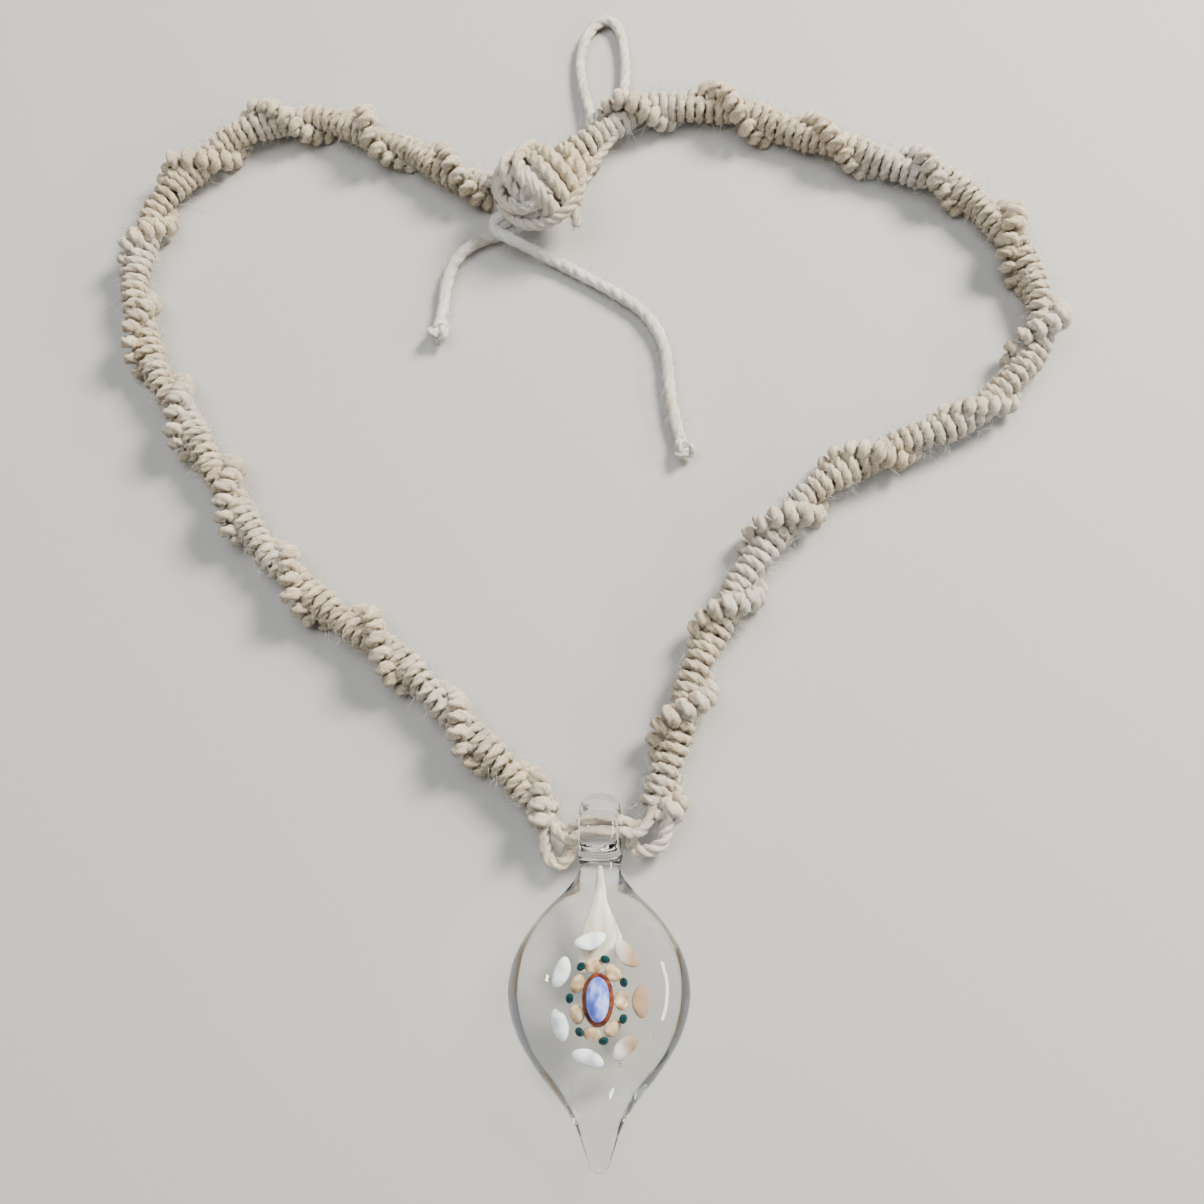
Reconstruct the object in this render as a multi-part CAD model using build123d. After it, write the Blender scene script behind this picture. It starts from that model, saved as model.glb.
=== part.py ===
from build123d import *
import math
import os

# Evil eye ornament: a clear lampworked glass drop with an eye-like flower sealed inside it, hung by its
# bail on a knotted hemp necklace.  Millimetres.  It lies on its back on a table: +Z is up, +Y runs from
# the drop's tip towards its bail and the necklace, and the origin is under the middle of the drop.

os.makedirs("parts", exist_ok=True)

# ---------------------------------------------------------------- driving dimensions
TIP_Y = -25.7                 # the drop's tip
BAIL_Y = 20.4                 # centre of the bail's hole, which runs along X
BAIL_Z = 5.5
HOLE_R = 2.8
BAIL_OUTER_R = 5.3
BAIL_DOME_R = 3.7             # the bail's outside is round this much across
BAIL_FLARE = (3.7, 1.8)       # half width and half depth of the oval that rounds the hole's mouths

CORD_D = 2.1                  # a loose hemp cord, as in the two tails
TIGHT_CORD_D = 1.9            # the same cord where a knot pulls it tight
CORE_D = 1.7                  # the filler cords inside the knotting
CORE_LIFT = 1.0               # one filler lies this far above the route, one this far below
BAND_R = 2.9                  # mean outside of the knotted sleeve, its ridge included
BORE_R = 1.95                 # room for the two filler cords
BAND_Z = 2.9

# The drop, section by section along Y: place, half width, half height, height of the section's middle
DROP_SECTIONS = [
    (16.4, 3.0, 2.7, 5.5),
    (14.2, 3.1, 2.9, 5.5),
    (12.0, 4.7, 3.7, 5.7),
    (8.7, 8.0, 5.5, 6.0),
    (4.3, 11.1, 7.0, 6.3),
    (-1.0, 12.7, 7.6, 6.4),
    (-8.2, 11.2, 6.9, 6.3),
    (-13.4, 7.8, 5.3, 5.9),
    (-16.3, 5.4, 4.1, 5.4),
    (-19.7, 3.2, 2.8, 4.9),
    (-22.6, 2.1, 2.0, 4.5),
    (-24.4, 1.5, 1.5, 4.3),
]

# The flower inside the drop
FLOWER_Y = -3.0
FLOWER_Z = 6.8
FLOWER_COUNT = 7
PETAL_START = 153.0           # direction of the first petal, in degrees from +X
HALF_STEP = 180.0 / FLOWER_COUNT
INNER_RING = (2.75, 4.15)     # half axes of the ellipse that the inner petals' middles lie on
DOT_RING = (3.45, 5.0)
OUTER_RING = (4.95, 7.0)
# Its stem, from the flower up into the neck: place, half width, half height, height of the middle
STEM_SECTIONS = [(0.2, 2.5, 0.5, 3.1), (4.4, 2.3, 0.55, 3.3), (8.6, 0.8, 0.45, 4.3), (15.2, 0.2, 0.2, 5.5)]

# Routes of the cords, as points chosen by hand.  Both bands run from the bail to the clasp.
LEFT_BAND = [
    (-6.6, 20.6), (-11.8, 28.2), (-20.8, 35.4), (-28.8, 45.2), (-39.6, 52.6), (-50.9, 61.5),
    (-59.2, 72.0), (-66.0, 83.6), (-74.2, 95.4), (-79.6, 106.6), (-81.3, 118.8), (-78.0, 130.4),
    (-70.4, 139.2), (-61.8, 145.4), (-52.6, 146.5), (-43.2, 143.2), (-34.0, 138.2), (-26.4, 133.4),
    (-19.6, 130.6),
]
RIGHT_BAND = [
    (6.9, 21.6), (10.0, 29.6), (12.6, 40.4), (17.0, 51.0), (24.0, 62.4), (32.4, 73.4), (43.6, 79.6),
    (56.0, 83.8), (66.6, 91.6), (72.0, 103.2), (68.0, 114.8), (61.8, 125.6), (50.6, 131.4),
    (37.6, 136.8), (25.2, 143.2), (12.6, 146.2), (2.2, 143.9), (-6.8, 135.6),
]
BAIL_CROSSING = [(-5.6, 19.1, 2.9), (-2.9, 20.8, 5.1), (2.6, 21.3, 5.1), (6.25, 19.92, 2.9)]
CLASP_NECK = [(-18.6, 130.2, 2.9), (-15.4, 128.9, 5.0), (-12.4, 127.8, 6.6)]
LEFT_HITCH = [(-8.3, 19.4, 3.0), (-8.3, 17.2, 2.6), (-6.7, 15.6, 2.4), (-4.9, 16.4, 2.6), (-4.7, 18.3, 1.7)]
RIGHT_HITCH = [(9.4, 20.6, 3.0), (9.1, 18.8, 2.6), (7.2, 17.6, 2.4), (5.2, 17.6, 2.0), (4.5, 18.6, 1.6)]
SHORT_TAIL = [
    (-9.4, 125.6, 6.4), (-12.4, 124.3, 3.8), (-15.8, 122.5, 1.4), (-19.6, 121.9, 1.1), (-23.4, 120.4, 1.1),
    (-26.0, 117.2, 1.1), (-27.2, 112.8, 1.1), (-27.3, 108.4, 1.1), (-28.0, 105.0, 1.1),
]
LONG_TAIL = [
    (-13.4, 124.4, 5.6), (-17.6, 123.9, 4.9), (-19.2, 121.6, 4.3), (-16.2, 120.0, 3.6), (-12.4, 118.6, 2.1),
    (-8.0, 116.5, 1.1), (-3.4, 113.6, 1.1), (3.0, 109.6, 1.1), (7.6, 105.6, 1.1), (10.2, 99.8, 1.1),
    (10.6, 92.8, 1.1), (11.4, 86.8, 1.1), (12.5, 82.4, 1.1),
]
CLOSURE_LOOP = [
    (-6.8, 135.6, 2.9), (-8.5, 134.2, 3.1), (-12.8, 134.4, 4.8), (-16.2, 132.7, 6.6), (-17.9, 130.2, 7.4),
    (-18.3, 127.7, 5.6), (-17.4, 126.8, 2.2), (-14.2, 126.4, 1.0), (-9.0, 127.6, 1.0), (-4.6, 131.0, 1.0),
    (-2.0, 135.0, 1.9), (2.0, 141.0, 2.9),
]
SPARE_LOOP = [
    (-1.8, 142.6, 2.4), (-2.9, 146.6, 1.6), (-4.2, 151.8, 1.1), (-4.8, 157.4, 1.1), (-3.6, 162.8, 1.1),
    (-0.6, 166.2, 1.1), (2.2, 164.6, 1.1), (3.3, 159.4, 1.1), (3.5, 153.8, 1.1), (3.2, 149.4, 1.5),
    (3.4, 145.6, 2.4),
]
# Knots that hold the ends of the cords inside them: centre and half size
BALL_KNOT = ((-10.2, 126.9, 8.0), (6.9, 6.7, 5.6))
SHORT_KNOT = ((-27.7, 103.7, 2.0), (2.1, 1.9, 2.0))
LONG_KNOT = ((12.9, 81.3, 1.65), (1.6, 1.75, 1.65))
TURN_SHARE = 0.45             # how much of the shorter run a bend's arc may take up


def raised(route, z):
    """The flat route's points, all at one height."""
    return [(x, y, z) for x, y in route]


def bend_radii(points):
    """One arc radius for each corner, as large as its two runs allow."""
    corners = [Vector(*p) for p in points]
    radii = []
    for before, here, after in zip(corners, corners[1:], corners[2:]):
        run_in = here - before
        run_out = after - here
        turn = math.radians(run_in.get_angle(run_out))
        radii.append(TURN_SHARE * min(run_in.length, run_out.length) / math.tan(turn / 2))
    return radii


def swept(points, section):
    """A section carried along straight runs joined by tangent arcs, and the length of that path."""
    path = FilletPolyline(*points, radius=bend_radii(points))
    start = Plane(origin=path @ 0, z_dir=path % 0)
    return sweep(start * section, path=path), path.length


def cord(name, points, section):
    """A cord's solid, with its length, its bends and its volume against section times length."""
    solid, length = swept(points, section)
    radii = bend_radii(points)
    expected = section.area * length
    share = solid.volume / expected
    turns = ", ".join(f"{r:.1f}" for r in radii)
    print(f"{name}: length {length:.1f}, radii {turns}, volume {share:.4f} of section x length")
    return solid


def ellipsoid(centre, half_size, turn=(0, 0, 0)):
    """An egg of three half axes, turned and then put at its centre."""
    return Pos(*centre) * Rot(*turn) * scale(Sphere(1), by=half_size)


def on_ring(ring, angle):
    """The point of an ellipse at an angle, around the flower's middle."""
    a = math.radians(angle)
    return (ring[0] * math.cos(a), FLOWER_Y + ring[1] * math.sin(a))


def outward(ring, angle):
    """The direction, in degrees, of the ellipse's outward normal at an angle."""
    a = math.radians(angle)
    return math.degrees(math.atan2(ring[0] * math.sin(a), ring[1] * math.cos(a)))


def petal_group(ring, first, z, half_size, tilt):
    """Eggs spread round a ring, each pointing outwards and tilted about its own long side."""
    group = []
    for i in range(FLOWER_COUNT):
        angle = first + 2 * HALF_STEP * i
        x, y = on_ring(ring, angle)
        turn = (0, 0, outward(ring, angle))
        egg = Pos(x, y, z) * Rot(*turn) * Rot(0, tilt, 0) * scale(Sphere(1), by=half_size)
        group.append(egg)
    return group


# ---------------------------------------------------------------- the flower sealed in the glass
def opal_core():
    """The blue eye: an upright oval of opal."""
    return [ellipsoid((0, FLOWER_Y, FLOWER_Z), (1.45, 2.75, 0.95))]


def iris_ring():
    """The red-brown glass round the opal, a flat oval shell that the opal sits in."""
    outer = ellipsoid((0, FLOWER_Y, FLOWER_Z - 0.45), (1.95, 3.3, 1.0))
    return [outer - opal_core()[0]]


def inner_petals():
    """Tan petals between the eye and the dots."""
    return petal_group(INNER_RING, PETAL_START, FLOWER_Z - 0.9, (0.88, 1.12, 0.45), 14)


def accent_dots():
    """Dark teal dots, one in each gap between petals."""
    return petal_group(DOT_RING, PETAL_START - HALF_STEP, FLOWER_Z - 0.5, (0.5, 0.62, 0.5), 0)


def outer_petals():
    """White petals, cupped back behind the rest."""
    return petal_group(OUTER_RING, PETAL_START, FLOWER_Z - 1.9, (0.85, 1.6, 0.5), 24)


def flower_stem():
    """The cream fan behind the flower, drawn out to a thread up the neck."""
    sections = []
    for y, half_width, half_height, z in STEM_SECTIONS:
        plane = Plane(origin=(0, y, z), x_dir=(1, 0, 0), z_dir=(0, 1, 0))
        sections.append(plane * Ellipse(half_width, half_height))
    return [loft(sections)]


# ---------------------------------------------------------------- the glass
def bail():
    """The loop of the glass: a section that is round outside and flared to the hole, revolved about it."""
    plane = Plane(origin=(0, BAIL_Y, BAIL_Z), x_dir=(1, 0, 0), z_dir=(0, 0, 1))
    dome = plane * Pos(0, BAIL_OUTER_R - BAIL_DOME_R) * Circle(BAIL_DOME_R)
    flare = plane * Pos(0, HOLE_R + BAIL_FLARE[1]) * Ellipse(*BAIL_FLARE)
    section = dome & flare
    return revolve(section, axis=Axis((0, BAIL_Y, BAIL_Z), (1, 0, 0)), revolution_arc=360)


def glass_body(inclusions):
    """The clear drop, its neck and its bail in one piece, hollow only where the flower is."""
    sections = []
    for y, half_width, half_height, z in DROP_SECTIONS:
        plane = Plane(origin=(0, y, z), x_dir=(1, 0, 0), z_dir=(0, 1, 0))
        sections.append(plane * Ellipse(half_width, half_height))
    drop = loft(sections)
    tip_y, tip_r, _, tip_z = DROP_SECTIONS[-1]
    tip = ellipsoid((0, tip_y, tip_z), (tip_r, tip_y - TIP_Y, tip_r))
    under = Pos(0, 0, -10) * Box(60, 120, 20)
    glass = drop + tip + bail() - under
    for piece in inclusions:
        glass = glass - piece
    return [glass]


# ---------------------------------------------------------------- the hemp
def band(name, route):
    """The knotted sleeve, hollow where its filler cords run."""
    return cord(name, raised(route, BAND_Z), Circle(BAND_R) - Circle(BORE_R))


def core_cords():
    """The two filler cords, from the ball, through both sleeves and the bail, to the closure."""
    route = list(reversed(CLASP_NECK))
    route += list(reversed(raised(LEFT_BAND[1:-1], BAND_Z)))
    route += BAIL_CROSSING
    route += raised(RIGHT_BAND[1:], BAND_Z)
    strands = []
    for lift in (CORE_LIFT, -CORE_LIFT):
        points = [(x, y, z + lift) for x, y, z in route]
        strands.append(cord("core_cords", points, Circle(CORE_D / 2)))
    return strands


def envelope(route):
    """A band's outside, filled, which what enters its knots is cut back to."""
    return swept(raised(route, BAND_Z), Circle(BAND_R))[0]


def largest(shape):
    """The main solid of a cut."""
    return max(shape.solids(), key=lambda s: s.volume)


def write(node, solids):
    """One STEP file for one node, holding its separate solids."""
    found = []
    for solid in solids:
        found += list(solid.solids())
    shape = found[0] if len(found) == 1 else Compound(children=found)
    shape.label = node
    export_step(shape, f"parts/{node}.step")
    print(f"{node}: {len(found)} solids, {sum(s.volume for s in found):.2f} mm3")


flower = {
    "opal_core": opal_core(),
    "iris_ring": iris_ring(),
    "inner_petals": inner_petals(),
    "accent_dots": accent_dots(),
    "outer_petals": outer_petals(),
    "flower_stem": flower_stem(),
}
sealed = [piece for group in flower.values() for piece in group]

left_band = band("left_band", LEFT_BAND)
right_band = band("right_band", RIGHT_BAND)
left_outside = envelope(LEFT_BAND)
right_outside = envelope(RIGHT_BAND)
cores = core_cords()
short_tail = cord("short_tail", SHORT_TAIL, Circle(CORD_D / 2))
long_tail = cord("long_tail", LONG_TAIL, Circle(CORD_D / 2))
closure_loop = cord("closure_loop", CLOSURE_LOOP, Circle(TIGHT_CORD_D / 2))
spare_loop = cord("spare_loop", SPARE_LOOP, Circle(TIGHT_CORD_D / 2))
left_hitch = cord("left_hitch", LEFT_HITCH, Circle(TIGHT_CORD_D / 2))
right_hitch = cord("right_hitch", RIGHT_HITCH, Circle(TIGHT_CORD_D / 2))
hemp = {
    "left_band": [left_band],
    "right_band": [right_band],
    "core_cords": cores,
    "left_hitch": [largest(left_hitch - left_outside)],
    "right_hitch": [largest(right_hitch - right_outside)],
    "closure_loop": [largest(closure_loop - right_outside)],
    "spare_loop": [largest(spare_loop - right_outside)],
    "ball_knot": [ellipsoid(*BALL_KNOT)],
    "short_tail": [short_tail],
    "long_tail": [long_tail],
    "short_tail_knot": [ellipsoid(*SHORT_KNOT)],
    "long_tail_knot": [ellipsoid(*LONG_KNOT)],
}

for node, group in {**flower, "glass_body": glass_body(sealed), **hemp}.items():
    write(node, group)
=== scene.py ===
import bpy
import math
import numpy as np
from mathutils import Matrix, Vector


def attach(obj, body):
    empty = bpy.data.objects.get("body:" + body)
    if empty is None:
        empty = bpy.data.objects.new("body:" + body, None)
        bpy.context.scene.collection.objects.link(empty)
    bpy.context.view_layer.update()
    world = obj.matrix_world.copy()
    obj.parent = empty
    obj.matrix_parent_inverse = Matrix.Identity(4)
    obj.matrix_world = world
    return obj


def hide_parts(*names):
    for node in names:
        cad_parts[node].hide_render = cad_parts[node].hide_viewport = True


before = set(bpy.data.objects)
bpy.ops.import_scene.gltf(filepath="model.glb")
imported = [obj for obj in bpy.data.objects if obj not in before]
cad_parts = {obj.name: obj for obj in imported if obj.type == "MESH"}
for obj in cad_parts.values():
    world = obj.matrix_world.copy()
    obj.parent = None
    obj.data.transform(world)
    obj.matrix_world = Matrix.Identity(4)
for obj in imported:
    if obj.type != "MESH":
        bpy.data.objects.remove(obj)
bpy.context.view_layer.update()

# ---------------------------------------------------------------- filler cords
# Two hemp cords run together through both knotted halves and through the bail.  They carry the weight.
# They are three-ply natural hemp, and only the stretch in and beside the glass bail is in sight.
LEFT_BAND = [
    (-0.0066, 0.0206), (-0.0118, 0.0282), (-0.0208, 0.0354), (-0.0288, 0.0452), (-0.0396, 0.0526),
    (-0.0509, 0.0615), (-0.0592, 0.072), (-0.066, 0.0836), (-0.0742, 0.0954), (-0.0796, 0.1066),
    (-0.0813, 0.1188), (-0.078, 0.1304), (-0.0704, 0.1392), (-0.0618, 0.1454), (-0.0526, 0.1465),
    (-0.0432, 0.1432), (-0.034, 0.1382), (-0.0264, 0.1334), (-0.0196, 0.1306),
]
RIGHT_BAND = [
    (0.0069, 0.0216), (0.01, 0.0296), (0.0126, 0.0404), (0.017, 0.051), (0.024, 0.0624), (0.0324, 0.0734),
    (0.0436, 0.0796), (0.056, 0.0838), (0.0666, 0.0916), (0.072, 0.1032), (0.068, 0.1148), (0.0618, 0.1256),
    (0.0506, 0.1314), (0.0376, 0.1368), (0.0252, 0.1432), (0.0126, 0.1462), (0.0022, 0.1439),
    (-0.0068, 0.1356),
]
BAIL_CROSSING = [
    (-0.0056, 0.0191, 0.0029), (-0.0029, 0.0208, 0.0051), (0.0026, 0.0213, 0.0051),
    (0.00625, 0.01992, 0.0029),
]
CLASP_NECK = [
    (-0.0186, 0.1302, 0.0029), (-0.0154, 0.1289, 0.005), (-0.0124, 0.1278, 0.0066),
]
BAND_HEIGHT = 0.0029
FILLER_RADIUS = 0.00095
FILLER_LIFT = 0.001


def raised(route, height):
    """The flat route's points at one height above the table."""
    return [(x, y, height) for x, y in route]


def distance_along(line):
    """How far along the line each of its points is."""
    return np.concatenate([[0], np.cumsum(np.linalg.norm(np.diff(line, axis=0), axis=1))])


def smooth_line(points, step):
    """Points about a step apart along the order 3 NURBS spline that has these control points."""
    curve = bpy.data.curves.new("route", "CURVE")
    curve.dimensions = "3D"
    spline = curve.splines.new("NURBS")
    spline.points.add(len(points) - 1)
    spline.points.foreach_set("co", [c for p in points for c in (*p, 1.0)])
    spline.order_u = 3
    spline.use_endpoint_u = True
    spline.resolution_u = 24
    holder = bpy.data.objects.new("route", curve)
    mesh = bpy.data.meshes.new_from_object(holder)
    line = np.empty(3 * len(mesh.vertices))
    mesh.vertices.foreach_get("co", line)
    bpy.data.objects.remove(holder)
    bpy.data.curves.remove(curve)
    bpy.data.meshes.remove(mesh)
    line = line.reshape(-1, 3)
    along = distance_along(line)
    at = np.linspace(0, along[-1], math.ceil(along[-1] / step) + 1)
    return np.stack([np.interp(at, along, line[:, k]) for k in range(3)], axis=1)


def unit(vectors):
    """The vectors at length one."""
    return vectors / np.linalg.norm(vectors, axis=-1, keepdims=True)


def carried_frames(line):
    """Each point's tangent and two directions across it.  The first across is the one before it with its part
    along the new tangent taken off, so that it is carried along the path without spinning."""
    tangent = unit(np.gradient(line, axis=0))
    across = np.empty_like(line)
    here = np.cross(tangent[0], (0.31, 0.17, 0.93))
    for i, t in enumerate(tangent):
        here = here - (here @ t) * t
        here = here / math.sqrt(here @ here)
        across[i] = here
    return tangent, across, np.cross(tangent, across)


def closed(rings, grain):
    """A closed surface: ring joined to ring, and a fan round a middle point at each end.  Gives its points,
    its faces of four corners, its faces of three, and the grain vector of each point."""
    m, n, _ = rings.shape
    i, j = np.meshgrid(np.arange(m - 1), np.arange(n), indexing="ij")
    a, b = i * n + j, i * n + (j + 1) % n
    quads = np.stack([a, b, b + n, a + n], axis=-1).reshape(-1, 4)
    first, after = np.arange(n), (np.arange(n) + 1) % n
    last = (m - 1) * n
    fans = np.concatenate([
        np.stack([np.full(n, m * n), after, first], axis=-1),
        np.stack([np.full(n, m * n + 1), last + first, last + after], axis=-1),
    ])
    points = np.concatenate([rings.reshape(-1, 3), rings[:1].mean(1), rings[-1:].mean(1)])
    grain = np.concatenate([grain.reshape(-1, 3), grain[0, :1], grain[-1, :1]])
    return points, quads, fans, grain


def mesh_of(name, *surfaces):
    """One smooth mesh of several closed surfaces, with their grain stored for the material."""
    starts = np.cumsum([0] + [len(points) for points, _, _, _ in surfaces])
    faces = []
    for start, (_, quads, fans, _) in zip(starts, surfaces):
        faces += (quads + start).tolist() + (fans + start).tolist()
    mesh = bpy.data.meshes.new(name)
    mesh.from_pydata(np.concatenate([points for points, _, _, _ in surfaces]).tolist(), [], faces)
    mesh.shade_smooth()
    stored = mesh.attributes.new("grain", "FLOAT_VECTOR", "POINT")
    grain = np.concatenate([grain for _, _, _, grain in surfaces])
    stored.data.foreach_set("vector", grain.astype(np.float32).ravel())
    return mesh


def rope_rings(line, radius, around, plies, lay, fullness=0.58):
    """Rings of a twisted cord.  The outline is that of equal round plies that touch the cord's outside, and
    it turns once in each lay; the radius may change along the line.  The grain runs nearly straight."""
    tangent, across, up = carried_frames(line)
    along = distance_along(line)
    radius = np.broadcast_to(radius, along.shape)
    angle = np.arange(around) * 2 * math.pi / around
    wave = (angle % (2 * math.pi / plies)) - math.pi / plies
    offset = 1 - fullness
    outline = offset * np.cos(wave) + np.sqrt(fullness**2 - (offset * np.sin(wave))**2)
    turned = angle[None, :] + 2 * math.pi * along[:, None] / lay
    reach = radius[:, None] * outline[None, :]
    rings = (line[:, None] + (reach * np.cos(turned))[..., None] * across[:, None]
             + (reach * np.sin(turned))[..., None] * up[:, None])
    grain_angle = angle[None, :] + 0.75 * (turned - angle[None, :])
    grain = np.stack([radius[:, None] * np.cos(grain_angle), radius[:, None] * np.sin(grain_angle),
                      np.broadcast_to(along[:, None], turned.shape)], axis=-1)
    return rings, grain


def add_piece(name, mesh, material, body, slot, *nodes):
    """Puts a mesh in the scene with its material, on its body, in place of the nodes that it stands for."""
    piece = bpy.data.objects.new(name, mesh)
    bpy.context.scene.collection.objects.link(piece)
    mesh.materials.append(material)
    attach(piece, body)
    if nodes:
        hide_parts(*nodes)
    return piece


def mixed(nodes, links, kind, factor, first, second):
    """A Mix node of colours: its result is the first where the factor is 0 and the second where it is 1."""
    mix = nodes.new("ShaderNodeMix")
    mix.data_type = "RGBA"
    mix.blend_type = kind
    for socket, value in ((mix.inputs["Factor"], factor), (mix.inputs[6], first), (mix.inputs[7], second)):
        if isinstance(value, bpy.types.NodeSocket):
            links.new(value, socket)
        else:
            socket.default_value = value
    return mix.outputs[2]


def ramp(nodes, links, value, stops):
    """A colour ramp through the stops, each a place and a colour."""
    node = nodes.new("ShaderNodeValToRGB")
    elements = node.color_ramp.elements
    while len(elements) < len(stops):
        elements.new(1.0)
    for element, (place, colour) in zip(elements, stops):
        element.position = place
        element.color = colour
    links.new(value, node.inputs["Fac"])
    return node.outputs["Color"]


def noise(nodes, links, vector, scale, detail, stretch=(1, 1, 1)):
    """Noise at a scale, on coordinates that are stretched first."""
    mapping = nodes.new("ShaderNodeMapping")
    mapping.inputs["Scale"].default_value = stretch
    links.new(vector, mapping.inputs["Vector"])
    node = nodes.new("ShaderNodeTexNoise")
    node.inputs["Scale"].default_value = scale
    node.inputs["Detail"].default_value = detail
    links.new(mapping.outputs["Vector"], node.inputs["Vector"])
    return node.outputs["Fac"]


def hemp(name, dark, mid, light, dust):
    """Natural hemp: streaks of darker and paler fibre along the cord, slow changes of shade from place to
    place, a few greyer stretches, a rough surface with a soft fibrous sheen."""
    material = bpy.data.materials.new(name)
    material.use_nodes = True
    nodes, links = material.node_tree.nodes, material.node_tree.links
    shader = nodes["Principled BSDF"]
    shader.inputs["Roughness"].default_value = 0.88
    shader.inputs["Specular IOR Level"].default_value = 0.22
    shader.inputs["Sheen Weight"].default_value = 0.35
    shader.inputs["Sheen Roughness"].default_value = 0.5
    grain = nodes.new("ShaderNodeAttribute")
    grain.attribute_name = "grain"
    place = nodes.new("ShaderNodeTexCoord")
    streaks = noise(nodes, links, grain.outputs["Vector"], 9000, 3, (1, 1, 0.09))
    hairs = noise(nodes, links, grain.outputs["Vector"], 21000, 2, (1, 1, 0.12))
    shade = noise(nodes, links, place.outputs["Object"], 260, 3)
    drift = noise(nodes, links, place.outputs["Object"], 55, 2)
    colour = ramp(nodes, links, streaks, [(0.32, dark), (0.5, mid), (0.68, light)])
    patches = ramp(nodes, links, shade, [(0.3, (0.70, 0.69, 0.66, 1)), (0.62, (1, 1, 1, 1))])
    colour = mixed(nodes, links, "MULTIPLY", 1.0, colour, patches)
    greyness = ramp(nodes, links, drift, [(0.45, (0, 0, 0, 1)), (0.7, (0.55, 0.55, 0.55, 1))])
    colour = mixed(nodes, links, "MIX", greyness, colour, dust)
    links.new(colour, shader.inputs["Base Color"])
    bump = nodes.new("ShaderNodeBump")
    bump.inputs["Strength"].default_value = 0.9
    bump.inputs["Distance"].default_value = 0.0003
    links.new(hairs, bump.inputs["Height"])
    links.new(bump.outputs["Normal"], shader.inputs["Normal"])
    return material


hemp_cord = hemp("hemp_cord", (0.24, 0.15, 0.07, 1), (0.70, 0.56, 0.36, 1), (0.93, 0.82, 0.62, 1),
                 (0.70, 0.68, 0.65, 1))
pale_hemp = hemp("pale_hemp_cord", (0.42, 0.35, 0.26, 1), (0.74, 0.67, 0.55, 1), (0.90, 0.86, 0.78, 1),
                 (0.76, 0.78, 0.80, 1))

# Which way each filler lies from the route: one above the other in the knotting, and rolled over to lie side
# by side where the bail hangs on them
KNOTTED_SIDE = (0.0, 0.0, 1.0)
BAIL_SIDES = [(0.0, -0.52, 0.9), (0.0, -0.97, 0.3), (0.0, -0.97, 0.3), (0.0, -0.52, 0.9)]
left_way = CLASP_NECK[::-1] + raised(LEFT_BAND[1:-1], BAND_HEIGHT)[::-1]
right_way = raised(RIGHT_BAND[1:], BAND_HEIGHT)
filler_route = np.array(left_way + BAIL_CROSSING + right_way)
filler_sides = np.array([KNOTTED_SIDE] * len(left_way) + BAIL_SIDES + [KNOTTED_SIDE] * len(right_way))
fillers = []
for side in (-FILLER_LIFT, FILLER_LIFT):
    filler_line = smooth_line(filler_route + side * filler_sides, 0.0006)
    fillers.append(closed(*rope_rings(filler_line, FILLER_RADIUS, 9, 3, 0.0055)))
add_piece("core_cords_twisted", mesh_of("core_cords_twisted", *fillers), hemp_cord, "necklace", "hemp_cord",
          "core_cords")

# ---------------------------------------------------------------- knotted halves
# Each half of the necklace is one working cord hitched round the fillers about a hundred and twenty times.
# Every hitch is a full wrap whose end is tucked under its own start and curls back over it.  The curls make
# one bumpy ridge, and since no hitch is turned back, the ridge winds slowly round the necklace.
HITCH_PITCH = 0.00162
RIDGE_TURN = 2 * math.pi / 11
WORKING_RADIUS = 0.00082
WRAP_RADIUS = 0.00152
WRAP_LIFT = 0.12
MOST_LIFT = 3.6
PLACE_SPREAD = 0.16
SLACKEST, TIGHTEST = 1.35, 0.62
HITCHES_A_SLACKNESS = 5
# One hitch: turn past the ridge in radians, place along in pitches, lift above the fillers in cord radii
HITCH = np.array([
    (-0.95, -0.02, 0.0), (-0.45, 0.0, 0.0), (0.10, 0.0, 0.2), (0.48, 0.06, 1.1), (0.54, 0.26, 2.5),
    (0.16, 0.52, 3.3), (-0.30, 0.82, 2.9), (-0.44, 1.00, 1.6), (-0.08, 1.06, 0.9), (0.50, 1.06, 0.9),
    (1.15, 1.01, 0.45), (1.80, 0.99, 0.0), (2.65, 0.98, 0.0), (3.50, 0.98, 0.0), (4.35, 0.98, 0.0),
    (5.15, 0.98, 0.0),
])
SAMPLES = 2


def spline_through(controls, samples):
    """A uniform cubic B-spline over rows of controls, with some samples to each span."""
    t = (np.arange(samples) / samples)[:, None]
    weights = np.concatenate([
        (1 - t)**3, 3 * t**3 - 6 * t**2 + 4, -3 * t**3 + 3 * t**2 + 3 * t + 1, t**3,
    ], axis=1)
    spans = np.stack([controls[i:len(controls) - 3 + i] for i in range(4)], axis=1)
    return np.einsum("sk,nkd->nsd", weights / 6, spans).reshape(-1, controls.shape[1])


def rested(points, softness=0.0006):
    """Points pressed flat by the table: a height below the softness is brought smoothly above zero."""
    z = points[..., 2]
    low = softness * np.exp(np.minimum(z - softness, 0) / softness)
    points[..., 2] = np.where(z < softness, low, z)
    return points


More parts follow.
